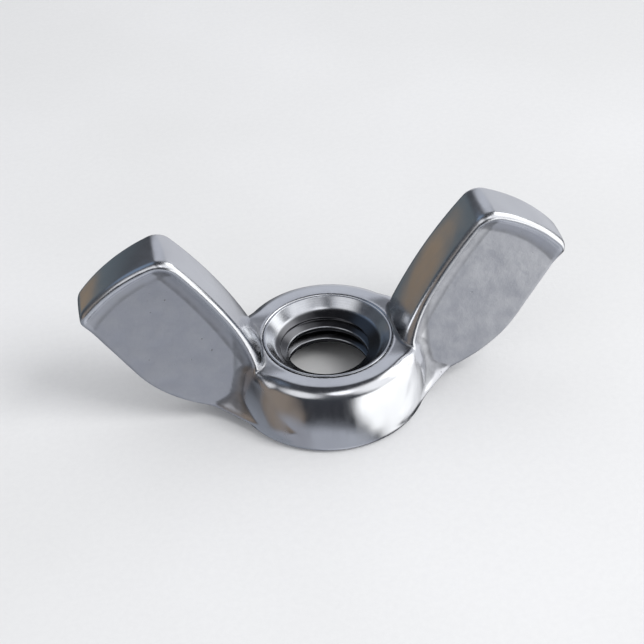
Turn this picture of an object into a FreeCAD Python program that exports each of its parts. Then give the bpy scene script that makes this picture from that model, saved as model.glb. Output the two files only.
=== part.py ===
"""Wing nut, M8, with a threaded steel bush inside a cast hub that carries two wings.

Millimetres. The origin is the centre of the round bearing face, +Z is the thread axis and
points out of the open end of the bore, between the wings. The wings lie along X.
"""
import math
import os

import FreeCAD
import Part

V = FreeCAD.Vector

# Hub: a low cone with rounded edges
HUB_BASE_R = 8.2
HUB_SHOULDER_R = 7.1
HUB_HEIGHT = 5.75
HUB_BASE_ROUND = 0.6
HUB_SHOULDER_ROUND = 0.6

# Countersink under the base, which runs through the hub and the bush
BASE_SINK_R = 6.1
BASE_SINK_DEPTH = 2.15

# M8 x 1.25 coarse thread: the crest wall is the minor radius of an internal thread
THREAD_PITCH = 1.25
THREAD_MAJOR_R = 4.0
THREAD_MINOR_R = 3.32
THREAD_ROOT_FLAT = THREAD_PITCH / 8
THREAD_CREST_FLAT = THREAD_PITCH / 4
TOOL_REACH = 0.12

# Bush: countersunk ends, a knurl that stops it turning and a groove that stops it lifting out
BUSH_R = 5.3
BUSH_BOTTOM = 1.0
BUSH_MOUTH_R = 5.1
BUSH_THROAT_R = 4.4
BUSH_THROAT_Z = 4.95
BUSH_CREST_TOP = 4.33
KNURL_BOTTOM = 1.7
KNURL_TOP = 4.3
KNURL_DEPTH = 0.25
KNURL_COUNT = 20
GROOVE_Z = 3.0
GROOVE_WIDTH = 0.6
GROOVE_DEPTH = 0.35

# Wing outline in the XZ plane, for the wing on the +X side
INNER_FOOT = V(4.9, 0, 4.0)
INNER_MIDDLE = V(8.05, 0, 10.85)
UPPER_CORNER = V(12.4, 0, 16.95)
END_MIDDLE = V(16.45, 0, 15.13)
OUTER_CORNER = V(19.75, 0, 11.9)
LOWER_ARC_CENTRE = V(6.9, 0, 11.3)
LOWER_ARC_R = 10.55
LOWER_FOOT_X = 6.5
UPPER_CORNER_ROUND = 0.8
OUTER_CORNER_ROUND = 1.0

# Wing thickness: a wedge that thins away from the hub
WING_ROOT_X = 6.0
WING_ROOT_HALF = 2.8
WING_TIP_X = 20.0
WING_TIP_HALF = 1.75
WING_EDGE_ROUND = 0.5

# Sunken panel on each side of each wing, open along the lower edge
PANEL_DEPTH = 0.8
PANEL_RIM = 0.5
PANEL_WALL = 0.7
PANEL_ROOT_TOP = V(7.15, 0, 8.9)
PANEL_ROOT_MIDDLE = V(7.1, 0, 5.0)
PANEL_ROOT_LOW = V(8.4, 0, 0.6)
PANEL_OVERRUN = 3.0

# Root rib: each wing widens towards the hub through hollow curves, seen from above and from the end
ROOT_HUB_R = 7.45
RIB_BLEND_R = 3.0
RIB_FACE_HALF = 2.0
RIB_LOW_Z = 0.75
RIB_SHOULDER_HALF = 3.9
RIB_SHOULDER_Z = 4.4
RIB_WAIST_HALF = 3.2
RIB_WAIST_Z = 6.2
RIB_TOP_HALF = 2.7
RIB_TOP_Z = 8.6

# Root foot: a wider, lower hollow curve that runs out across the bottom of the panel
FOOT_BLEND_R = 7.0
FOOT_FACE_HALF = 1.6
FOOT_LOW_HALF = 4.8
FOOT_TOP_HALF = 2.0
FOOT_TOP_Z = 4.2

CUT_REACH = 3.0


def revolve(profile):
    """Solid of revolution about Z from a closed list of (radius, height) points."""
    points = [V(radius, 0, height) for radius, height in profile]
    wire = Part.makePolygon(points + points[:1])
    return Part.Face(wire).revolve(V(0, 0, 0), V(0, 0, 1), 360)


def mirrored(shape):
    """The same shape on the other side of the YZ plane."""
    return shape.mirror(V(0, 0, 0), V(1, 0, 0))


def base_sink_height(radius):
    """Height of the base countersink's cone at a radius."""
    slope = BASE_SINK_DEPTH / (BASE_SINK_R - THREAD_MINOR_R)
    return (BASE_SINK_R - radius) * slope


def base_sink():
    """The countersink under the base, as a cutting cone."""
    low_r = BASE_SINK_R + CUT_REACH
    return revolve([(0, base_sink_height(0)), (low_r, base_sink_height(low_r)), (0, base_sink_height(low_r))])


def hub():
    """Cone with a rounded base edge and a rounded shoulder."""
    cone = revolve([
        (0, 0),
        (HUB_BASE_R, 0),
        (HUB_SHOULDER_R, HUB_HEIGHT),
        (0, HUB_HEIGHT),
    ])
    cone = cone.makeFillet(HUB_BASE_ROUND, circles_at(cone, 0))
    return cone.makeFillet(HUB_SHOULDER_ROUND, circles_at(cone, HUB_HEIGHT))


def circles_at(shape, height):
    """The circular edges of a shape that lie at a height."""
    circles = [edge for edge in shape.Edges if isinstance(edge.Curve, Part.Circle)]
    return [edge for edge in circles if abs(edge.Curve.Center.z - height) < 0.01]


def tangent_point(start, centre, radius):
    """Where the lower tangent from a point touches a circle, in the XZ plane."""
    to_centre = centre - start
    bearing = math.atan2(to_centre.z, to_centre.x)
    turn = math.asin(radius / to_centre.Length)
    reach = math.sqrt(to_centre.Length**2 - radius**2)
    return start + V(math.cos(bearing + turn), 0, math.sin(bearing + turn)) * reach


def wing_outline():
    """Closed outline of one wing in the XZ plane, its foot hidden inside the hub."""
    touch = tangent_point(OUTER_CORNER, LOWER_ARC_CENTRE, LOWER_ARC_R)
    foot_rise = math.sqrt(LOWER_ARC_R**2 - (LOWER_FOOT_X - LOWER_ARC_CENTRE.x) ** 2)
    foot = V(LOWER_FOOT_X, 0, LOWER_ARC_CENTRE.z - foot_rise)
    chord_middle = (touch + foot) * 0.5 - LOWER_ARC_CENTRE
    arc_middle = LOWER_ARC_CENTRE + chord_middle * (LOWER_ARC_R / chord_middle.Length)
    return Part.Wire([
        Part.Arc(INNER_FOOT, INNER_MIDDLE, UPPER_CORNER).toShape(),
        Part.Arc(UPPER_CORNER, END_MIDDLE, OUTER_CORNER).toShape(),
        Part.makeLine(OUTER_CORNER, touch),
        Part.Arc(touch, arc_middle, foot).toShape(),
        Part.makeLine(foot, INNER_FOOT),
    ])


def wing_blank():
    """One wing: its outline between two faces that close up away from the hub."""
    outline = Part.Face(wing_outline())
    slab = outline.extrude(V(0, 4 * WING_ROOT_HALF, 0))
    slab.translate(V(0, -2 * WING_ROOT_HALF, 0))
    for radius, corner in ((UPPER_CORNER_ROUND, UPPER_CORNER), (OUTER_CORNER_ROUND, OUTER_CORNER)):
        slab = slab.makeFillet(radius, [edge for edge in slab.Edges if is_across(edge, corner)])
    wedge = slab.cut([wedge_cutter(-1), wedge_cutter(1)])
    return wedge.makeFillet(WING_EDGE_ROUND, [edge for edge in wedge.Edges if is_rim(edge)])


def middle_of(edge):
    """The point halfway along an edge."""
    return edge.valueAt((edge.FirstParameter + edge.LastParameter) / 2)


def is_across(edge, corner):
    """True for the edge that runs across the wing's thickness at a corner."""
    return all(abs(vertex.X - corner.x) + abs(vertex.Z - corner.z) < 0.01 for vertex in edge.Vertexes)


def is_rim(edge):
    """True for an edge where a wing's side meets its outline, outside the hub."""
    middle = middle_of(edge)
    return abs(middle.y) > WING_TIP_HALF / 2 and middle.x > BUSH_R


def wing_slope():
    """How fast the wing's half thickness falls away from the hub."""
    return (WING_ROOT_HALF - WING_TIP_HALF) / (WING_TIP_X - WING_ROOT_X)


def wedge_cutter(side):
    """What is removed from one side of the slab, so that it thins away from the hub."""
    reach = 4 * WING_TIP_X
    near = V(-reach, side * (WING_ROOT_HALF + (reach + WING_ROOT_X) * wing_slope()), -reach)
    far = V(reach, side * (WING_ROOT_HALF - (reach - WING_ROOT_X) * wing_slope()), -reach)
    beyond = V(reach, side * reach, -reach)
    before = V(-reach, side * reach, -reach)
    section = Part.Face(Part.makePolygon([near, far, beyond, before, near]))
    return section.extrude(V(0, 0, 2 * reach))


def root_plan(blend_r, face_half):
    """A root seen from above: a hollow curve each side, from the hub's wall to the wing's face."""
    centre_y = face_half + blend_r
    centre_x = math.sqrt((ROOT_HUB_R + blend_r) ** 2 - centre_y**2)
    centre = V(centre_x, -centre_y, 0)
    on_hub = centre * (ROOT_HUB_R / centre.Length)
    on_wing = V(centre_x, -face_half, 0)
    halfway = centre + ((on_hub + on_wing) * 0.5 - centre).normalize() * blend_r
    left = [V(point.x, -point.y, 0) for point in (on_wing, halfway, on_hub)]
    return Part.Wire([
        Part.Arc(on_hub, halfway, on_wing).toShape(),
        Part.makeLine(on_wing, left[0]),
        Part.Arc(*left).toShape(),
        Part.makeLine(left[2], on_hub),
    ])


def rib_section():
    """The rib seen from the wing's end: upright sides that curve in above the hub's shoulder."""
    curves = []
    for side in (-1, 1):
        low, shoulder, waist, top = (
            V(0, side * half, z)
            for half, z in (
                (RIB_SHOULDER_HALF, RIB_LOW_Z),
                (RIB_SHOULDER_HALF, RIB_SHOULDER_Z),
                (RIB_WAIST_HALF, RIB_WAIST_Z),
                (RIB_TOP_HALF, RIB_TOP_Z),
            )
        )
        curves += [Part.makeLine(low, shoulder), Part.Arc(shoulder, waist, top).toShape()]
    bottom = Part.makeLine(V(0, -RIB_SHOULDER_HALF, RIB_LOW_Z), V(0, RIB_SHOULDER_HALF, RIB_LOW_Z))
    roof = Part.makeLine(V(0, -RIB_TOP_HALF, RIB_TOP_Z), V(0, RIB_TOP_HALF, RIB_TOP_Z))
    return Part.Wire(Part.__sortEdges__(curves + [bottom, roof]))


def foot_section():
    """The foot seen from the wing's end: sides that lean in as they rise."""
    corners = [
        V(0, -FOOT_LOW_HALF, RIB_LOW_Z),
        V(0, FOOT_LOW_HALF, RIB_LOW_Z),
        V(0, FOOT_TOP_HALF, FOOT_TOP_Z),
        V(0, -FOOT_TOP_HALF, FOOT_TOP_Z),
    ]
    return Part.makePolygon(corners + corners[:1])


def outline_prism(shift):
    """The wing's outline as a wide block across the hub, moved by a small step."""
    reach = 2 * HUB_BASE_R
    block = Part.Face(wing_outline()).extrude(V(0, reach, 0))
    block.translate(shift - V(0, reach / 2, 0))
    return block


def root_block(plan, section):
    """A root with a shape from above and one from the end, kept behind the wing's rounded edge."""
    reach = 2 * HUB_BASE_R
    from_above = Part.Face(plan).extrude(V(0, 0, reach))
    from_end = Part.Face(section).extrude(V(reach, 0, 0))
    setback = V(WING_EDGE_ROUND, 0, 0)
    from_front = outline_prism(V(0, 0, 0)).common(outline_prism(setback))
    return from_above.common(from_end).common(from_front)


def arc_circle(start, middle, finish):
    """The full circle through three points of an arc."""
    return Part.Arc(start, middle, finish).toShape().Curve


def on_circle(circle, point, distance):
    """The point on an arc nearest to a given one, moved towards the arc's centre."""
    outward = (point - circle.Center).normalize()
    return circle.Center + outward * (circle.Radius - distance)


def inset_corner(inner, end, distance):
    """Where the inset inner edge meets the inset end edge, near the upper corner."""
    rings = [Part.Circle(circle.Center, V(0, 1, 0), circle.Radius - distance) for circle in (inner, end)]
    crossings = [V(point.X, 0, point.Z) for point in rings[0].intersect(rings[1])]
    return min(crossings, key=lambda point: point.distanceToPoint(UPPER_CORNER))


def panel_outline(distance, y):
    """Outline of the sunken panel at one depth, inset from the wing's inner and end edges."""
    inner = arc_circle(INNER_FOOT, INNER_MIDDLE, UPPER_CORNER)
    end = arc_circle(UPPER_CORNER, END_MIDDLE, OUTER_CORNER)
    shift = V(distance - PANEL_RIM, 0, 0)
    start = on_circle(inner, PANEL_ROOT_TOP, distance)
    corner = inset_corner(inner, end, distance)
    outer = on_circle(end, OUTER_CORNER, distance)
    beyond = outer + (OUTER_CORNER - END_MIDDLE).normalize() * PANEL_OVERRUN
    root_low = PANEL_ROOT_LOW + shift
    below = root_low + V(PANEL_OVERRUN, 0, -PANEL_OVERRUN)
    wire = Part.Wire([
        Part.Arc(start, on_circle(inner, INNER_MIDDLE, distance), corner).toShape(),
        Part.Arc(corner, on_circle(end, END_MIDDLE, distance), outer).toShape(),
        Part.makeLine(outer, beyond),
        Part.makeLine(beyond, below),
        Part.makeLine(below, root_low),
        Part.Arc(root_low, PANEL_ROOT_MIDDLE + shift, start).toShape(),
    ])
    wire.translate(V(0, y, 0))
    return wire


def panel_cutter(side):
    """What is removed to sink the panel on one side: a steep wall, then clear air above it."""
    floor = panel_outline(PANEL_RIM + PANEL_WALL, side * (WING_ROOT_HALF - PANEL_DEPTH))
    rim = panel_outline(PANEL_RIM, side * WING_ROOT_HALF)
    sloped = Part.makeLoft([floor, rim], True, True)
    clear = Part.Face(rim).extrude(V(0, side * RIB_SHOULDER_HALF, 0))
    cutter = sloped.fuse(clear)
    lean = math.degrees(math.atan(wing_slope()))
    cutter.rotate(V(WING_ROOT_X, side * WING_ROOT_HALF, 0), V(0, 0, 1), -side * lean)
    return cutter


def thread_cutter():
    """Helical groove of the internal thread."""
    half_root = THREAD_ROOT_FLAT / 2
    half_crest = (THREAD_PITCH - THREAD_CREST_FLAT) / 2
    flank = (half_crest - half_root) / (THREAD_MAJOR_R - THREAD_MINOR_R)
    inner_r = THREAD_MINOR_R - TOOL_REACH
    half_inner = half_crest + flank * TOOL_REACH
    start_z = BUSH_BOTTOM - THREAD_PITCH
    height = HUB_HEIGHT + THREAD_PITCH - start_z
    helix = Part.makeLongHelix(THREAD_PITCH, height, THREAD_MINOR_R)
    helix.translate(V(0, 0, start_z))
    profile = Part.makePolygon([
        V(inner_r, 0, start_z - half_inner),
        V(THREAD_MAJOR_R, 0, start_z - half_root),
        V(THREAD_MAJOR_R, 0, start_z + half_root),
        V(inner_r, 0, start_z + half_inner),
        V(inner_r, 0, start_z - half_inner),
    ])
    return Part.Wire(helix.Edges).makePipeShell([profile], True, True)


def quarter_bore(radius, bottom, top):
    """Bore tool whose wall is four quarter cylinders."""
    arcs = []
    for quarter in range(4):
        start = 90 * quarter
        arcs.append(Part.makeCircle(radius, V(0, 0, bottom), V(0, 0, 1), start, start + 90))
    return Part.Face(Part.Wire(arcs)).extrude(V(0, 0, top - bottom))


def knurl_notch(index):
    """One straight V notch of the knurl."""
    half_angle = 180 / KNURL_COUNT * 0.8
    outer = BUSH_R + KNURL_DEPTH
    points = [V(BUSH_R - KNURL_DEPTH, 0, KNURL_BOTTOM)]
    for turn in (-half_angle, half_angle):
        point = V(outer, 0, KNURL_BOTTOM)
        placement = FreeCAD.Placement(V(0, 0, 0), FreeCAD.Rotation(V(0, 0, 1), turn))
        points.append(placement.multVec(point))
    notch = Part.Face(Part.makePolygon(points + points[:1])).extrude(V(0, 0, KNURL_TOP - KNURL_BOTTOM))
    notch.rotate(V(0, 0, 0), V(0, 0, 1), 360 / KNURL_COUNT * index)
    return notch


def bush_plug():
    """The bush's outside as a solid plug: what the hub is cast around."""
    plug = Part.makeCylinder(BUSH_R, HUB_HEIGHT - BUSH_BOTTOM, V(0, 0, BUSH_BOTTOM))
    groove = revolve([
        (BUSH_R - GROOVE_DEPTH, GROOVE_Z - GROOVE_WIDTH / 2),
        (BUSH_R + 1, GROOVE_Z - GROOVE_WIDTH / 2),
        (BUSH_R + 1, GROOVE_Z + GROOVE_WIDTH / 2),
        (BUSH_R - GROOVE_DEPTH, GROOVE_Z + GROOVE_WIDTH / 2),
    ])
    notches = [knurl_notch(index) for index in range(KNURL_COUNT)]
    return plug.cut([groove] + notches)


def thread_insert():
    """The steel bush with its M8 thread."""
    bush = bush_plug().cut(base_sink())
    bush = bush.cut(quarter_bore(THREAD_MINOR_R, 0, HUB_HEIGHT + 1))
    mouth = revolve([
        (0, BUSH_CREST_TOP),
        (THREAD_MINOR_R, BUSH_CREST_TOP),
        (BUSH_THROAT_R, BUSH_THROAT_Z),
        (BUSH_MOUTH_R, HUB_HEIGHT),
        (BUSH_MOUTH_R, HUB_HEIGHT + 1),
        (0, HUB_HEIGHT + 1),
    ])
    bush = bush.cut(mouth)
    return bush.cut(thread_cutter())


def wing():
    """One wing with its widened root and a sunken panel on each side."""
    rib = root_block(root_plan(RIB_BLEND_R, RIB_FACE_HALF), rib_section())
    foot = root_block(root_plan(FOOT_BLEND_R, FOOT_FACE_HALF), foot_section())
    sunk = wing_blank().fuse(rib).cut([panel_cutter(-1), panel_cutter(1)])
    return sunk.fuse(foot)


def wing_body():
    """The casting: hub and two wings, open for the bush and countersunk under the base."""
    right = wing()
    body = hub().fuse([right, mirrored(right)]).removeSplitter()
    open_top = Part.makeCylinder(BUSH_R, HUB_HEIGHT, V(0, 0, HUB_HEIGHT))
    return body.cut([bush_plug(), open_top, base_sink()])


def save(name, shape):
    """Write one sub-part's single solid to its own STEP file."""
    solids = shape.Solids
    print(name, "solids", len(solids), "valid", shape.isValid(), "volume", round(shape.Volume, 2))
    solids[0].exportStep(os.path.join("parts", name + ".step"))


def main():
    os.makedirs("parts", exist_ok=True)
    save("wing_body", wing_body())
    save("thread_insert", thread_insert())


main()
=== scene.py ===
"""Wing nut: a plated casting with two wings, and a threaded steel bush in its hub.

Shapes are worked out in millimetres and turned into metres when their meshes are made.
"""
import math

import bpy
import numpy as np
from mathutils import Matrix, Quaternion, Vector


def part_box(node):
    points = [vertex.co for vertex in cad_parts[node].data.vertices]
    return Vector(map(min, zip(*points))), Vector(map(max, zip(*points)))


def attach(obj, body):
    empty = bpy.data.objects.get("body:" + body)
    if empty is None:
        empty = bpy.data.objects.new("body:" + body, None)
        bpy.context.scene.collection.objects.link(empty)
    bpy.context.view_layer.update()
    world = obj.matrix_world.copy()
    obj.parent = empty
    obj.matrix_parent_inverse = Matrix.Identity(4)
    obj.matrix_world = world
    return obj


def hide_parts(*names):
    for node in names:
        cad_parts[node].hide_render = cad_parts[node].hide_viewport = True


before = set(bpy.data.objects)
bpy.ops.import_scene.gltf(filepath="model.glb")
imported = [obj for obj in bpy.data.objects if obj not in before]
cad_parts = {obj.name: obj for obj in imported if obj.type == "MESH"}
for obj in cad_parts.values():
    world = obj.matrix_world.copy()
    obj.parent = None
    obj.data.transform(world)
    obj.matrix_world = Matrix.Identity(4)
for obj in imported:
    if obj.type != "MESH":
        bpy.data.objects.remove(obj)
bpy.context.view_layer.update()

MM = 0.001

# Hub: a barrel side between a flat base and a slightly crowned top
HUB_HEIGHT = 5.75
HUB_BELLY_R = 8.1
HUB_BELLY_Z = 0.95
HUB_PROFILE_R = 12.0
HUB_BASE_ROUND = 0.6
HUB_SHOULDER_ROUND = 0.6
HUB_CROWN = 0.09
HUB_CROWN_R = 6.1
BASE_SINK_R = 6.1
BASE_SINK_DEPTH = 2.15
BASE_SINK_EDGE = 0.12
CAVITY_FLOOR_ROUND = 0.1
CAVITY_EDGE = 0.06

# Bush and M8 x 1.25 thread
BUSH_R = 5.3
BUSH_BOTTOM = 1.0
BUSH_MOUTH_R = 5.1
BUSH_THROAT_R = 4.4
BUSH_THROAT_Z = 4.95
BUSH_CREST_TOP = 4.33
THREAD_PITCH = 1.25
THREAD_MAJOR_R = 4.0
THREAD_MINOR_R = 3.32
THREAD_CREST_FLAT = THREAD_PITCH / 4
THREAD_FLANK_ANGLE = 30
THREAD_START = 0.654
KNURL_BOTTOM = 1.7
KNURL_TOP = 4.3
KNURL_DEPTH = 0.25
KNURL_COUNT = 20
GROOVE_Z = 3.0
GROOVE_WIDTH = 0.6
GROOVE_DEPTH = 0.35
BUSH_GAP = 0.02
BUSH_EDGE_ROUND = 0.08
BUSH_INNER_EDGE = 0.03
BUSH_CORNER_STEP = 15
BUSH_SEGMENTS = 240
BUSH_ROWS = 150
THREAD_CREST_SOFTNESS = 0.05
THREAD_ROOT_SOFTNESS = 0.08
BORE_SOFTNESS = 0.04
LEAD_SOFTNESS = 0.06
KNURL_RUN_OUT = 0.2
GROOVE_RUN_OUT = 0.1

# Wing outline in the XZ plane
INNER_FOOT = (4.9, 4.0)
INNER_MIDDLE = (8.05, 10.85)
UPPER_CORNER = (12.4, 16.95)
END_MIDDLE = (16.45, 15.13)
OUTER_CORNER = (19.75, 11.9)
LOWER_ARC_CENTRE = (6.9, 11.3)
LOWER_ARC_R = 10.55
UPPER_CORNER_ROUND = 0.95
LOWER_EDGE_ROUND = 1.2
LOWER_EDGE_X = 10.0
OUTER_CORNER_ROUND = 1.05
OUTER_CORNER_X = 17.0

# Wing thickness and sunken panel
WING_ROOT_X = 6.0
WING_ROOT_HALF = 2.8
WING_TIP_X = 20.0
WING_TIP_HALF = 1.75
WING_EDGE_ROUND = 0.65
ROOT_EDGE_ROUND = 1.4
FACE_CROWN = 0.12
FACE_CROWN_HALF = 2.2
PANEL_DEPTH = 0.8
PANEL_RIM = 0.3
PANEL_WALL = 0.5
PANEL_ROOT_WALL = 0.3
PANEL_FLOOR_ROUND = 0.9
PANEL_UPPER_ROUND = 0.8
PANEL_ROOT_ROUND = 0.9
PANEL_ROOT = ((6.8, 8.9), (6.8, 5.0), (7.8, 0.6))

# Wing root: the blend into the hub is wide at the base and tight from there up
ROOT_LOW_BLEND = 6.0
ROOT_HIGH_BLEND = 2.2
ROOT_BLEND_TOP = 4.2
ROOT_CREASE = 0.15
ROOT_SPREAD = 0.7
ROOT_SPREAD_LOW = 5.0
ROOT_SPREAD_TOP = 9.5
FOOT_BLEND = 0.3
FOOT_BLEND_LOW = 0.6
FOOT_BLEND_TOP = 2.0
LEAST_BLEND = 0.001  # keeps a blend that has run out above zero
PANEL_LOW_BLEND = 4.5
PANEL_HIGH_BLEND = 0.6
PANEL_BLEND_TOP = 3.0
PANEL_EDGE_ROUND = 0.3
PANEL_LOW_EDGE_ROUND = 0.6
PANEL_EDGE_LOW = 1.0
PANEL_EDGE_TOP = 5.0

# Meshing
GRID_STEP = 0.13
GRID_MARGIN = 4
SETTLE_ROUNDS = 4
SLOPE_NUDGE = 0.01
LEAST_SLOPE_SQUARED = 0.25
CURVATURE_REACH = 0.25

# Where the casting is satin, crested or hollow, as ranges for a smooth step; the hollows get painted shade
SATIN_EDGE = (-0.3, 0.2)
SATIN_ROOT_X = (7.5, 8.4)
SATIN_FACE_Y = (0.3, 0.8)
CREST_BEND = (0.3, 2.2)
HOLLOW_BEND = (0.3, 1.3)
HOLLOW_FACE_Y = (3.2, 4.2)

# What the plating reflects: a grey for each elevation, then soft-edged cards in front of it,
# each an azimuth, an elevation, a half width and a softness in degrees, and a colour
WORLD_LEVELS = (
    (-90, (0.05, 0.053, 0.06)),
    (-24, (0.035, 0.037, 0.042)),
    (-8, (0.04, 0.042, 0.05)),
    (10, (0.05, 0.055, 0.065)),
    (28, (0.08, 0.085, 0.095)),
    (42, (0.12, 0.125, 0.14)),
    (56, (0.09, 0.095, 0.105)),
    (68, (0.05, 0.052, 0.06)),
    (90, (0.04, 0.042, 0.05)),
)
WORLD_CARDS = (
    # pale floor in front and on the left, brighter straight below
    (-14, -60, 35, 7, (0.44, 0.46, 0.51)),
    (-14, -82, 20, 8, (0.60, 0.62, 0.68)),
    (-100, -58, 30, 8, (0.28, 0.30, 0.34)),
    # warm wall on the left, cool wall with a warm patch at the back left
    (-72, -8, 19, 13, (0.27, 0.225, 0.19)),
    (-141, -6, 22, 14, (0.12, 0.145, 0.165)),
    (-140, -6, 7, 7, (0.27, 0.21, 0.155)),
    # grey wall and sky behind
    (147, 4, 31, 11, (0.64, 0.65, 0.69)),
    (170, 40, 14, 9, (0.58, 0.60, 0.66)),
    # sky elsewhere: blue at the back left, white in front and on the right
    (-122, 45, 14, 10, (0.20, 0.27, 0.38)),
    (-48, 38, 18, 9, (0.95, 0.95, 0.97)),
    (10, 58, 9, 7, (1.9, 1.9, 1.95)),
    (58, 40, 26, 12, (1.1, 1.1, 1.12)),
    (103, 40, 15, 8, (2.8, 2.8, 2.8)),
    # white window at the front right, with pale ground under it
    (34, -10, 15, 9, (1.5, 1.5, 1.5)),
    (60, -8, 20, 9, (1.5, 1.5, 1.5)),
    (87, -8, 19, 9, (1.5, 1.5, 1.5)),
    (46, -27, 11, 7, (1.3, 1.3, 1.3)),
    (74, -34, 17, 8, (1.3, 1.3, 1.3)),
    (102, -38, 13, 8, (0.95, 0.95, 0.97)),
    # lower edge of the warm wall and the ground under it
    (-47, -19, 7, 6, (0.24, 0.20, 0.17)),
    (-55, -39, 15, 8, (0.34, 0.35, 0.39)),
    # pale patch above the window's right end, and the dark frame beside it
    (90, 20, 15, 8, (1.7, 1.7, 1.7)),
    (114, -8, 8, 5, (0.05, 0.052, 0.06)),
)
# The even light that the room gives to everything but reflections
ROOM_LIGHT = (0.80, 0.81, 0.83)

# Floor, key light and camera: metres, degrees and watts, and the lens and sensor in millimetres
FLOOR_SIZE = 2
SHADE_LIFT = 0.00002
KEY_POWER = 0.7
KEY_SIZE = 0.16
KEY_AZIMUTH = 50
KEY_ELEVATION = 50
KEY_DISTANCE = 0.35
CAMERA_AZIMUTH = -9.76
CAMERA_ELEVATION = 39.02
CAMERA_ROLL = -2.68
CAMERA_DISTANCE = 0.115
CAMERA_LENS = 79.0
CAMERA_SENSOR = 36
CAMERA_NEAR = 0.005
CAMERA_AIM = Vector((-0.38, 0.14, 6.99)) * MM


# ---------------------------------------------------------------- distance fields
def circle_through(a, b, c):
    """Centre and radius of the circle through three points of a plane."""
    a, b, c = (np.array(point, float) for point in (a, b, c))
    sides = 2 * np.array([b - a, c - a])
    squares = np.array([b @ b - a @ a, c @ c - a @ a])
    centre = np.linalg.solve(sides, squares)
    return centre, float(np.linalg.norm(a - centre))


def disc(x, z, centre, radius):
    """Signed distance to a disc in the XZ plane, negative inside."""
    return np.hypot(x - centre[0], z - centre[1]) - radius


def both(a, b, radius):
    """Where two shapes overlap, with its edge rounded to a radius."""
    u = np.maximum(a + radius, 0)
    v = np.maximum(b + radius, 0)
    return np.minimum(-radius, np.maximum(a, b)) + np.hypot(u, v)


def either(a, b, radius):
    """Two shapes joined, with a hollow blend of a radius between them."""
    return -both(-a, -b, radius)


def ease(value, low, high):
    """0 below low, 1 above high and a smooth step between."""
    t = np.clip((value - low) / (high - low), 0, 1)
    return t * t * (3 - 2 * t)


def mix(start, finish, share):
    """The value a share of the way from start to finish."""
    return start + (finish - start) * share


def inner_edge(x, z):
    """Signed distance to the disc that holds the wing's long inner edge."""
    return disc(x, z, *circle_through(INNER_FOOT, INNER_MIDDLE, UPPER_CORNER))


def end_edge(x, z):
    """Signed distance to the disc that holds the wing's end."""
    return disc(x, z, *circle_through(UPPER_CORNER, END_MIDDLE, OUTER_CORNER))


def lower_edge(x, z):
    """Signed distance to the wing's lower edge: an arc from the hub, then its straight tangent."""
    corner = np.array(OUTER_CORNER)
    centre = np.array(LOWER_ARC_CENTRE)
    to_centre = centre - corner
    length = np.linalg.norm(to_centre)
    bearing = math.atan2(to_centre[1], to_centre[0]) + math.asin(LOWER_ARC_R / length)
    along = np.array([math.cos(bearing), math.sin(bearing)])
    touch = corner + along * math.sqrt(length**2 - LOWER_ARC_R**2)
    outward = (touch - centre) / LOWER_ARC_R
    straight = (x - touch[0]) * outward[0] + (z - touch[1]) * outward[1]
    arc = np.where(x < centre[0], centre[1] - LOWER_ARC_R - z, disc(x, z, centre, LOWER_ARC_R))
    before_touch = (x - touch[0]) * along[0] + (z - touch[1]) * along[1] < 0
    return np.where(before_touch, straight, arc)


def hub_side(r, z):
    """Signed distance to the hub's barrel side, endless upward and downward."""
    return np.hypot(r - HUB_BELLY_R + HUB_PROFILE_R, z - HUB_BELLY_Z) - HUB_PROFILE_R


def hub_top(r, z):
    """Height above the hub's top, which is slightly crowned."""
    return z - HUB_HEIGHT + HUB_CROWN * (r - HUB_CROWN_R) ** 2


def panel_upper(x, z):
    """Signed distance to the panel's upper boundary, inside the wing's inner and end ridges."""
    inset = PANEL_RIM + PANEL_WALL
    return both(inner_edge(x, z) + inset, end_edge(x, z) + inset, PANEL_UPPER_ROUND)


def panel_region(x, z):
    """Signed distance to the sunken panel's floor, seen from the side."""
    root_centre, root_radius = circle_through(*PANEL_ROOT)
    root = disc(x, z, root_centre + np.array([PANEL_ROOT_WALL, 0]), root_radius)
    return both(panel_upper(x, z), root, PANEL_ROOT_ROUND)


def wing_side(x, y):
    """Signed distance to the wing's side face, which leans in away from the hub."""
    thinning = (WING_ROOT_HALF - WING_TIP_HALF) / (WING_TIP_X - WING_ROOT_X)
    half = WING_ROOT_HALF - thinning * (x - WING_ROOT_X)
    return (y - half) * math.cos(math.atan(thinning))


def flared_wing(x, y, z):
    """Signed distance to a wing without its panel, and to the web that joins it to the hub."""
    r = np.hypot(x, y)
    crown = FACE_CROWN * ((y / FACE_CROWN_HALF) ** 2 - 1)
    outline = both(inner_edge(x, z) + crown, end_edge(x, z) + crown, UPPER_CORNER_ROUND)
    above_root = ease(z, ROOT_SPREAD_LOW, ROOT_SPREAD_TOP)
    spread = ROOT_SPREAD * (1 - above_root)
    edge_round = mix(ROOT_EDGE_ROUND, WING_EDGE_ROUND, above_root)
    wing = both(wing_side(x, y) - spread, outline, edge_round)
    blend = mix(ROOT_LOW_BLEND, ROOT_HIGH_BLEND, ease(z, 0, ROOT_BLEND_TOP))
    web = both(either(wing, hub_side(r, z), blend), hub_top(r, z), HUB_SHOULDER_ROUND)
    lower_round = mix(LOWER_EDGE_ROUND, OUTER_CORNER_ROUND, ease(x, LOWER_EDGE_X, OUTER_CORNER_X))
    return both(either(wing, web, ROOT_CREASE), lower_edge(x, z), lower_round)


def panel_pocket(x, y, z, hub):
    """Signed distance to the space above the sunken panel, which stays clear of the hub."""
    wall_slope = PANEL_WALL / PANEL_DEPTH
    depth = wing_side(x, y) + PANEL_DEPTH
    wall = (panel_region(x, z) - depth * wall_slope) / math.hypot(1, wall_slope)
    blend = mix(PANEL_LOW_BLEND, PANEL_HIGH_BLEND, ease(z, 0, PANEL_BLEND_TOP))
    return both(wall, -either(depth, hub, blend), PANEL_FLOOR_ROUND)


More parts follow.
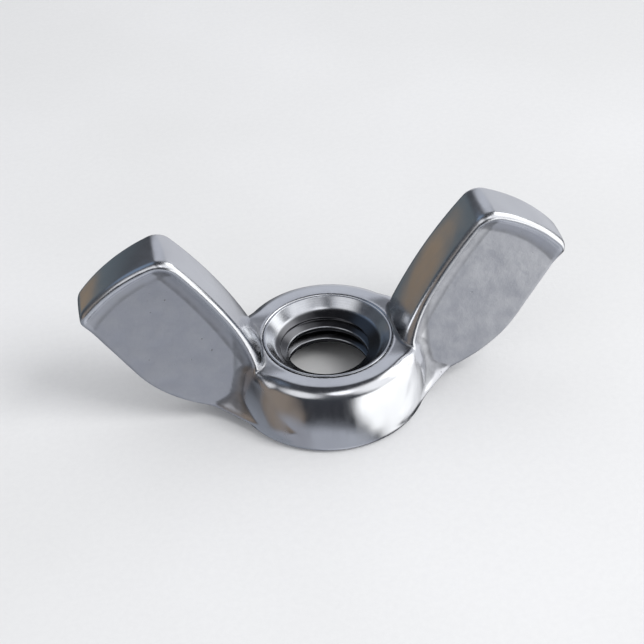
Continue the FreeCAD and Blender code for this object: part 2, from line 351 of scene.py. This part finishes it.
def body_field(x, y, z):
    """Signed distance to the casting, near its surface, in millimetres."""
    x = np.abs(x)
    y = np.abs(y)
    r = np.hypot(x, y)
    hub = both(hub_side(r, z), hub_top(r, z), HUB_SHOULDER_ROUND)
    foot = FOOT_BLEND * (1 - ease(z, FOOT_BLEND_LOW, FOOT_BLEND_TOP)) + LEAST_BLEND
    body = either(flared_wing(x, y, z), hub, foot)
    panel_edge = mix(PANEL_LOW_EDGE_ROUND, PANEL_EDGE_ROUND, ease(z, PANEL_EDGE_LOW, PANEL_EDGE_TOP))
    body = both(body, -panel_pocket(x, y, z, hub), panel_edge)
    body = both(body, -z, HUB_BASE_ROUND)

    cavity = both(r - BUSH_R, BUSH_BOTTOM - z, CAVITY_FLOOR_ROUND)
    body = both(body, -cavity, CAVITY_EDGE)
    sink_slope = BASE_SINK_DEPTH / (BASE_SINK_R - THREAD_MINOR_R)
    sink = ((BASE_SINK_R - r) * sink_slope - z) / math.hypot(1, sink_slope)
    return both(body, sink, BASE_SINK_EDGE)


# ---------------------------------------------------------------- meshes from fields
def sample_quarter(field, low, high, step):
    """Samples a field that is the same on both sides of X = 0 and Y = 0."""
    counts = [int(math.ceil(high[axis] / step)) + GRID_MARGIN for axis in (0, 1)]
    xs = (np.arange(counts[0]) + 0.5) * step
    ys = (np.arange(counts[1]) + 0.5) * step
    zs = np.arange(low[2] - GRID_MARGIN * step, high[2] + GRID_MARGIN * step, step)
    quarter = field(xs[:, None, None], ys[None, :, None], zs[None, None, :])
    half = np.concatenate([quarter[::-1], quarter], axis=0)
    whole = np.concatenate([half[:, ::-1], half], axis=1)
    origin = np.array([-xs[-1], -ys[-1], zs[0]])
    return whole, origin


def surface_net(values, origin, step):
    """One vertex for each cell that the surface crosses, and one quad for each crossed grid edge."""
    inside = values < 0
    total = np.zeros(tuple(n - 1 for n in values.shape) + (3,))
    hits = np.zeros(tuple(n - 1 for n in values.shape))
    for axis in range(3):
        others = [a for a in range(3) if a != axis]
        for da in (0, 1):
            for db in (0, 1):
                start = [0, 0, 0]
                start[others[0]] = da
                start[others[1]] = db
                first = tuple(slice(start[a], start[a] + values.shape[a] - 1) for a in range(3))
                start[axis] = 1
                second = tuple(slice(start[a], start[a] + values.shape[a] - 1) for a in range(3))
                crossed = inside[first] != inside[second]
                a = values[first][crossed]
                b = values[second][crossed]
                place = np.zeros((len(a), 3))
                place[:, others[0]] = da
                place[:, others[1]] = db
                place[:, axis] = a / (a - b)
                total[crossed] += place
                hits[crossed] += 1
    active = hits > 0
    index = np.full(hits.shape, -1)
    index[active] = np.arange(active.sum())
    corner = np.argwhere(active)
    points = origin + step * (corner + total[active] / hits[active][:, None])
    quads = []
    for axis in range(3):
        others = [(axis + 1) % 3, (axis + 2) % 3]
        first = [slice(1, n - 1) for n in values.shape]
        second = [slice(1, n - 1) for n in values.shape]
        first[axis] = slice(0, values.shape[axis] - 1)
        second[axis] = slice(1, values.shape[axis])
        a = inside[tuple(first)]
        b = inside[tuple(second)]
        for outward in (True, False):
            found = np.argwhere(a & ~b if outward else ~a & b)
            found[:, others[0]] += 1
            found[:, others[1]] += 1
            ring = []
            for da, db in ((-1, -1), (0, -1), (0, 0), (-1, 0)):
                cell = found.copy()
                cell[:, others[0]] += da
                cell[:, others[1]] += db
                ring.append(index[cell[:, 0], cell[:, 1], cell[:, 2]])
            if not outward:
                ring = ring[::-1]
            quads.append(np.stack(ring, axis=1))
    return points, np.concatenate(quads)


def settle(points, field):
    """Moves points along the field's slope until they lie on its surface."""
    for _ in range(SETTLE_ROUNDS):
        value = field(points[:, 0], points[:, 1], points[:, 2])
        slope = np.zeros_like(points)
        for axis in range(3):
            ahead = points.copy()
            behind = points.copy()
            ahead[:, axis] += SLOPE_NUDGE
            behind[:, axis] -= SLOPE_NUDGE
            slope[:, axis] = (field(*ahead.T) - field(*behind.T)) / (2 * SLOPE_NUDGE)
        size = np.maximum((slope**2).sum(axis=1), LEAST_SLOPE_SQUARED)
        points = points - slope * (value / size)[:, None]
    return points


def mesh_object(name, points, faces):
    """A smooth-shaded mesh object from points in millimetres."""
    mesh = bpy.data.meshes.new(name)
    mesh.from_pydata((points * MM).tolist(), [], faces.tolist())
    mesh.validate()
    mesh.polygons.foreach_set("use_smooth", [True] * len(mesh.polygons))
    mesh.update()
    thing = bpy.data.objects.new(name, mesh)
    bpy.context.scene.collection.objects.link(thing)
    return thing


def curvature(points, field):
    """The surface's curvature per millimetre: above 0 on a crest, below 0 in a hollow."""
    total = -6 * field(*points.T)
    for axis in range(3):
        for way in (-CURVATURE_REACH, CURVATURE_REACH):
            moved = points.copy()
            moved[:, axis] += way
            total = total + field(*moved.T)
    return total / CURVATURE_REACH**2


def panel_share(points):
    """1 on the satin sides of the wings and 0 away from them, with a short run between."""
    x, y, z = np.abs(points[:, 0]), np.abs(points[:, 1]), points[:, 2]
    below_ridges = ease(-panel_upper(x, z), *SATIN_EDGE)
    return below_ridges * ease(x, *SATIN_ROOT_X) * ease(y, *SATIN_FACE_Y)


def set_attribute(thing, name, values):
    """Stores one number for each vertex."""
    attribute = thing.data.attributes.new(name, "FLOAT", "POINT")
    attribute.data.foreach_set("value", values.astype(np.float32))


def make_casting():
    """The hub and both wings as one closed mesh."""
    low, high = (np.array(corner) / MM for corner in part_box("wing_body"))
    values, origin = sample_quarter(body_field, low, high, GRID_STEP)
    points, quads = surface_net(values, origin, GRID_STEP)
    points = settle(points, body_field)
    thing = mesh_object("plated_casting", points, quads)
    set_attribute(thing, "satin", panel_share(points))
    bend = curvature(points, body_field)
    set_attribute(thing, "crest", ease(bend, *CREST_BEND))
    # Creases on the wings: the material paints shade into their colour and roughens them
    on_wing = 1 - ease(np.abs(points[:, 1]), *HOLLOW_FACE_Y)
    set_attribute(thing, "hollow", ease(-bend, *HOLLOW_BEND) * on_wing)
    return thing


# ---------------------------------------------------------------- bush mesh
def soft_max(a, b, softness):
    """The larger of two values, with the corner between them eased."""
    return (a + b + np.sqrt((a - b) ** 2 + softness**2)) / 2


def thread_radius(angle, z):
    """Radius of the 60 degree thread's surface, right-handed, rising with the angle."""
    turn = z / THREAD_PITCH - angle / (2 * math.pi) - THREAD_START
    from_crest = np.abs(turn - np.round(turn)) * THREAD_PITCH
    past_flat = from_crest - THREAD_CREST_FLAT / 2
    flank = THREAD_MINOR_R + past_flat / math.tan(math.radians(THREAD_FLANK_ANGLE))
    rounded = soft_max(flank, THREAD_MINOR_R, THREAD_CREST_SOFTNESS)
    return -soft_max(-rounded, -THREAD_MAJOR_R, THREAD_ROOT_SOFTNESS)


def bore_radius(angle, z):
    """Radius of the open bore: mouth chamfer, lead-in, thread and base countersink."""
    mouth_slope = (BUSH_MOUTH_R - BUSH_THROAT_R) / (HUB_HEIGHT - BUSH_THROAT_Z)
    mouth = BUSH_THROAT_R + (z - BUSH_THROAT_Z) * mouth_slope
    lead_slope = (BUSH_THROAT_R - THREAD_MINOR_R) / (BUSH_THROAT_Z - BUSH_CREST_TOP)
    lead = THREAD_MINOR_R + (z - BUSH_CREST_TOP) * lead_slope
    top = -soft_max(-mouth, -lead, LEAD_SOFTNESS)
    base = BASE_SINK_R - z * (BASE_SINK_R - THREAD_MINOR_R) / BASE_SINK_DEPTH
    return soft_max(soft_max(thread_radius(angle, z), top, BORE_SOFTNESS), base, BORE_SOFTNESS)


def outer_radius(angle, z):
    """Radius of the bush's outside, with its knurl and the groove that keeps it in the hub."""
    above_bottom = ease(z, KNURL_BOTTOM, KNURL_BOTTOM + KNURL_RUN_OUT)
    below_top = 1 - ease(z, KNURL_TOP - KNURL_RUN_OUT, KNURL_TOP)
    notch = KNURL_DEPTH * above_bottom * below_top * (0.5 + 0.5 * np.cos(angle * KNURL_COUNT)) ** 2
    half = GROOVE_WIDTH / 2
    groove = GROOVE_DEPTH * (1 - ease(np.abs(z - GROOVE_Z), half - GROOVE_RUN_OUT, half))
    return BUSH_R - BUSH_GAP - np.maximum(notch, groove)


def make_bush():
    """The threaded bush as one closed mesh: a ring of profile loops."""
    angles = np.arange(BUSH_SEGMENTS) * 2 * math.pi / BUSH_SEGMENTS
    inside_z = np.linspace(HUB_HEIGHT - BUSH_INNER_EDGE, BUSH_BOTTOM + BUSH_INNER_EDGE, BUSH_ROWS)
    outside_z = np.linspace(BUSH_BOTTOM + BUSH_EDGE_ROUND, HUB_HEIGHT - BUSH_EDGE_ROUND, BUSH_ROWS // 2)
    corner = np.radians(np.arange(0, 91, BUSH_CORNER_STEP))
    top_z = HUB_HEIGHT - BUSH_EDGE_ROUND + BUSH_EDGE_ROUND * np.sin(corner)
    top_in = -BUSH_EDGE_ROUND + BUSH_EDGE_ROUND * np.cos(corner)
    loops = []
    for angle in angles:
        inner = bore_radius(angle, inside_z)
        outer = outer_radius(angle, outside_z)
        bottom = [inner[-1] + 2 * BUSH_INNER_EDGE, outer[0] - BUSH_EDGE_ROUND]
        mouth = [inner[0] + BUSH_INNER_EDGE]
        radius = np.concatenate([inner, bottom, outer, outer[-1] + top_in, mouth])
        height = np.concatenate([inside_z, [BUSH_BOTTOM] * 2, outside_z, top_z, [HUB_HEIGHT]])
        loops.append(np.stack([radius * math.cos(angle), radius * math.sin(angle), height], axis=1))
    points = np.concatenate(loops)
    rows = len(loops[0])
    ring, row = np.meshgrid(np.arange(BUSH_SEGMENTS), np.arange(rows), indexing="ij")
    ring_next = (ring + 1) % BUSH_SEGMENTS
    row_next = (row + 1) % rows
    quads = np.stack(
        [ring * rows + row, ring * rows + row_next, ring_next * rows + row_next, ring_next * rows + row],
        axis=-1,
    )
    return mesh_object("threaded_bush", points, quads.reshape(-1, 4))


# ---------------------------------------------------------------- materials
class Nodes:
    """Adds nodes to one node tree."""

    def __init__(self, tree):
        self.tree = tree

    def add(self, kind, inputs=None, **settings):
        """A node with its settings, and its inputs linked to a socket or set to a value."""
        node = self.tree.nodes.new(kind)
        for key, value in settings.items():
            setattr(node, key, value)
        for key, value in (inputs or {}).items():
            if isinstance(value, bpy.types.NodeSocket):
                self.tree.links.new(value, node.inputs[key])
            else:
                node.inputs[key].default_value = value
        return node

    def noise(self, vector, scale, detail=3.0, roughness=0.5):
        """Noise from 0 to 1; its scale is in cells per metre."""
        inputs = {"Vector": vector, "Scale": scale, "Detail": detail, "Roughness": roughness}
        return self.add("ShaderNodeTexNoise", inputs).outputs["Fac"]

    def remap(self, value, low, high, to_low, to_high):
        """A value carried from one range to another with a smooth step."""
        inputs = {"Value": value, "From Min": low, "From Max": high, "To Min": to_low, "To Max": to_high}
        return self.add("ShaderNodeMapRange", inputs, interpolation_type="SMOOTHSTEP").outputs[0]

    def blend(self, factor, a, b):
        """Colour a where the factor is 0, colour b where it is 1."""
        node = self.add("ShaderNodeMix", {0: factor, 6: a, 7: b}, data_type="RGBA")
        return node.outputs[2]

    def math(self, operation, a, b=0.0):
        """One arithmetic operation."""
        return self.add("ShaderNodeMath", {0: a, 1: b}, operation=operation).outputs[0]

    def bump(self, height, distance, normal=None):
        """A normal bumped by a height; distance is the bump's full height in metres."""
        inputs = {"Height": height, "Distance": distance, "Strength": 1.0}
        if normal is not None:
            inputs["Normal"] = normal
        return self.add("ShaderNodeBump", inputs).outputs["Normal"]


def new_material(name):
    """A material with its node helper, its Principled shader and object coordinates."""
    material = bpy.data.materials.new(name)
    material.use_nodes = True
    nodes = Nodes(material.node_tree)
    shader = material.node_tree.nodes["Principled BSDF"]
    coords = nodes.add("ShaderNodeTexCoord").outputs["Object"]
    return material, nodes, shader, coords


def plated_casting_material():
    """Bright plating on a zinc casting: a mirror-like hub and ridges, satin panels, a few nicks, and
    painted shade darkening the creases.
    """
    material, nodes, shader, coords = new_material("bright_plating")
    link = material.node_tree.links.new
    satin = nodes.add("ShaderNodeAttribute", attribute_name="satin").outputs["Fac"]
    crest = nodes.add("ShaderNodeAttribute", attribute_name="crest").outputs["Fac"]
    hollow = nodes.add("ShaderNodeAttribute", attribute_name="hollow").outputs["Fac"]

    broad = nodes.noise(coords, 190.0, 2.0)
    mottle = nodes.noise(coords, 620.0, 4.0, 0.6)
    grain = nodes.noise(coords, 5200.0, 3.0, 0.6)
    stretch = {"Vector": coords, "Rotation": (0.0, 0.6, 0.0), "Scale": (1.0, 1.0, 0.12)}
    streaked = nodes.add("ShaderNodeMapping", stretch).outputs["Vector"]
    streak = nodes.noise(streaked, 1500.0, 3.0, 0.55)

    bright = nodes.blend(nodes.remap(broad, 0.3, 0.7, 0, 1), (0.69, 0.70, 0.73, 1), (0.76, 0.775, 0.80, 1))
    matt = nodes.blend(nodes.remap(mottle, 0.3, 0.72, 0, 1), (0.62, 0.63, 0.67, 1), (0.70, 0.71, 0.74, 1))
    colour = nodes.blend(satin, bright, matt)
    uneven = nodes.remap(mottle, 0.3, 0.7, 0.35, 0.65)
    # Painted shade: the colour goes near black in the creases that the hollow mask marks, most where the
    # wing meets the hub
    colour = nodes.blend(nodes.math("MULTIPLY", hollow, uneven), colour, (0.13, 0.135, 0.15, 1))
    pits = nodes.remap(nodes.noise(coords, 2600.0, 2.0), 0.70, 0.76, 0, 1)
    few = nodes.remap(nodes.noise(coords, 330.0, 1.0), 0.52, 0.62, 0, 1)
    nick = nodes.math("MULTIPLY", nodes.math("MULTIPLY", pits, few), satin)
    colour = nodes.blend(nodes.math("MULTIPLY", nick, 0.45), colour, (0.20, 0.19, 0.19, 1))
    link(colour, shader.inputs["Base Color"])
    shader.inputs["Metallic"].default_value = 1.0

    rough_bright = nodes.remap(streak, 0.3, 0.7, 0.13, 0.21)
    rough_satin = nodes.remap(mottle, 0.25, 0.75, 0.34, 0.46)
    spread = nodes.math("MULTIPLY", nodes.math("SUBTRACT", rough_satin, rough_bright), satin)
    rough = nodes.math("ADD", rough_bright, spread)
    rough = nodes.math("ADD", rough, nodes.math("MULTIPLY", crest, 0.09))
    rough = nodes.math("ADD", rough, nodes.math("MULTIPLY", hollow, 0.22))
    rough = nodes.math("ADD", rough, nodes.math("MULTIPLY", nick, 0.2))
    link(rough, shader.inputs["Roughness"])

    wavy = nodes.bump(broad, 0.00009)
    satin_height = nodes.math("MULTIPLY", mottle, satin)
    peel = nodes.bump(satin_height, 0.00005, wavy)
    fine = nodes.bump(grain, 0.0000015, peel)
    hole = nodes.bump(nodes.math("MULTIPLY", nick, -1.0), 0.00002, fine)
    link(hole, shader.inputs["Normal"])
    return material


def steel_bush_material():
    """Plated steel: turned face and chamfers with the tool's fine rings, and the thread painted dark as
    shade, mostly left off its crests.
    """
    material, nodes, shader, coords = new_material("turned_steel")
    link = material.node_tree.links.new
    parts = nodes.add("ShaderNodeSeparateXYZ", {0: coords})
    flat = nodes.add("ShaderNodeCombineXYZ", {"X": parts.outputs["X"], "Y": parts.outputs["Y"]})
    radius = nodes.add("ShaderNodeVectorMath", {0: flat.outputs[0]}, operation="LENGTH").outputs["Value"]
    along = nodes.math("ADD", nodes.math("MULTIPLY", radius, 1.3), parts.outputs["Z"])
    rings = nodes.noise(nodes.add("ShaderNodeCombineXYZ", {"X": along}).outputs[0], 9000.0, 2.0, 0.5)
    cloud = nodes.noise(coords, 700.0, 3.0, 0.5)
    grain = nodes.noise(coords, 6000.0, 2.0, 0.5)

    colour = nodes.blend(nodes.remap(cloud, 0.3, 0.7, 0, 1), (0.60, 0.62, 0.66, 1), (0.72, 0.74, 0.77, 1))
    colour = nodes.blend(nodes.remap(rings, 0.35, 0.7, 0.0, 0.25), colour, (0.42, 0.42, 0.44, 1))
    throat = BUSH_THROAT_R * MM
    crest = THREAD_MINOR_R * MM
    # Painted shade: the bore below the throat is coloured near black, much less on the thread crests, so
    # they still read as lit
    in_thread = nodes.remap(radius, throat - 0.0002, throat + 0.0001, 1.0, 0.0)
    off_crest = nodes.remap(radius, crest, crest + 0.00012, 0.2, 0.92)
    painted_bore_shade = nodes.math("MULTIPLY", in_thread, off_crest)
    colour = nodes.blend(painted_bore_shade, colour, (0.05, 0.05, 0.055, 1))
    link(colour, shader.inputs["Base Color"])
    shader.inputs["Metallic"].default_value = 1.0
    rough = nodes.math("ADD", nodes.remap(cloud, 0.3, 0.7, 0.14, 0.22), nodes.math("MULTIPLY", rings, 0.08))
    link(rough, shader.inputs["Roughness"])
    turned = nodes.bump(rings, 0.0000012)
    link(nodes.bump(grain, 0.0000012, turned), shader.inputs["Normal"])
    return material


def floor_material():
    """Pale matt card with a faint tooth."""
    material, nodes, shader, coords = new_material("pale_card")
    link = material.node_tree.links.new
    cloud = nodes.noise(coords, 25.0, 3.0, 0.5)
    fibre = nodes.noise(coords, 1800.0, 4.0, 0.6)
    colour = nodes.blend(nodes.remap(cloud, 0.3, 0.7, 0, 1), (0.70, 0.70, 0.70, 1), (0.74, 0.74, 0.745, 1))
    colour = nodes.blend(nodes.remap(fibre, 0.3, 0.7, 0, 0.12), colour, (0.60, 0.60, 0.61, 1))
    link(colour, shader.inputs["Base Color"])
    link(nodes.remap(fibre, 0.3, 0.7, 0.75, 0.9), shader.inputs["Roughness"])
    link(nodes.bump(fibre, 0.00002), shader.inputs["Normal"])
    return material


def shade_material():
    """The dim floor inside the bore, as the metal round it mirrors it."""
    material, nodes, shader, coords = new_material("bore_shade")
    cloud = nodes.noise(coords, 400.0, 2.0, 0.5)
    colour = nodes.blend(cloud, (0.02, 0.02, 0.022, 1), (0.05, 0.05, 0.055, 1))
    material.node_tree.links.new(colour, shader.inputs["Base Color"])
    shader.inputs["Roughness"].default_value = 0.9
    return material


# ---------------------------------------------------------------- the object
casting = make_casting()
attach(casting, "root")
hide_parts("wing_body")
casting.data.materials.append(plated_casting_material())

bush = make_bush()
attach(bush, "root")
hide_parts("thread_insert")
bush.data.materials.append(steel_bush_material())


# ---------------------------------------------------------------- stage
def towards(azimuth, elevation):
    """Unit vector; azimuth 0 points along -Y and 90 along +X, in degrees."""
    a, e = math.radians(azimuth), math.radians(elevation)
    return Vector((math.sin(a) * math.cos(e), -math.cos(a) * math.cos(e), math.sin(e)))


def studio_world():
    """Plain soft light for the floor, and pale and dark cards round the metal to reflect."""
    world = bpy.data.worlds.new("studio")
    world.use_nodes = True
    nodes = Nodes(world.node_tree)
    direction = nodes.add("ShaderNodeTexCoord").outputs["Generated"]
    height = nodes.add("ShaderNodeSeparateXYZ", {0: direction}).outputs["Z"]
    level = nodes.add("ShaderNodeMapRange", {"Value": height, "From Min": -1.0, "From Max": 1.0}).outputs[0]
    ramp = nodes.add("ShaderNodeValToRGB", {"Fac": level})
    while len(ramp.color_ramp.elements) > 1:
        ramp.color_ramp.elements.remove(ramp.color_ramp.elements[-1])
    for index, (elevation, grey) in enumerate(WORLD_LEVELS):
        place = (math.sin(math.radians(elevation)) + 1) / 2
        element = ramp.color_ramp.elements[0] if index == 0 else ramp.color_ramp.elements.new(place)
        element.position = place
        element.color = (*grey, 1)
    seen = ramp.outputs["Color"]
    for azimuth, elevation, wide, soft, colour in WORLD_CARDS:
        pair = {0: direction, 1: towards(azimuth, elevation)}
        facing = nodes.add("ShaderNodeVectorMath", pair, operation="DOT_PRODUCT").outputs["Value"]
        edge = (math.cos(math.radians(wide + soft)), math.cos(math.radians(max(wide - soft, 0))))
        inside = nodes.remap(facing, *edge, 0, 1)
        seen = nodes.blend(inside, seen, (*colour, 1))
    glossy = nodes.add("ShaderNodeLightPath").outputs["Is Glossy Ray"]
    colour = nodes.blend(glossy, (*ROOM_LIGHT, 1), seen)
    background = world.node_tree.nodes["Background"]
    world.node_tree.links.new(colour, background.inputs["Color"])
    return world


bpy.ops.mesh.primitive_plane_add(size=FLOOR_SIZE)
floor = bpy.context.object
floor.name = "floor"
floor.data.materials.append(floor_material())
floor.visible_glossy = False

bpy.ops.mesh.primitive_circle_add(radius=BASE_SINK_R * MM, fill_type="NGON", location=(0, 0, SHADE_LIFT))
shade = bpy.context.object
shade.name = "bore_shade"
shade.data.materials.append(shade_material())
shade.visible_camera = False
shade.visible_diffuse = False
shade.visible_shadow = False

bpy.context.scene.world = studio_world()

light_data = bpy.data.lights.new("key", "AREA")
light_data.energy = KEY_POWER
light_data.size = KEY_SIZE
light = bpy.data.objects.new("key", light_data)
bpy.context.scene.collection.objects.link(light)
from_key = towards(KEY_AZIMUTH, KEY_ELEVATION)
light.location = from_key * KEY_DISTANCE
light.rotation_euler = from_key.to_track_quat("Z", "Y").to_euler()
light.visible_glossy = False

camera_data = bpy.data.cameras.new("camera")
camera_data.lens = CAMERA_LENS
camera_data.sensor_width = CAMERA_SENSOR
camera_data.clip_start = CAMERA_NEAR
camera = bpy.data.objects.new("camera", camera_data)
bpy.context.scene.collection.objects.link(camera)
back = towards(CAMERA_AZIMUTH, CAMERA_ELEVATION)
camera.location = CAMERA_AIM + back * CAMERA_DISTANCE
facing = back.to_track_quat("Z", "Y")
camera.rotation_euler = (facing @ Quaternion((0, 0, 1), math.radians(CAMERA_ROLL))).to_euler()
bpy.context.scene.camera = camera
bpy.context.scene.view_settings.view_transform = "Standard"
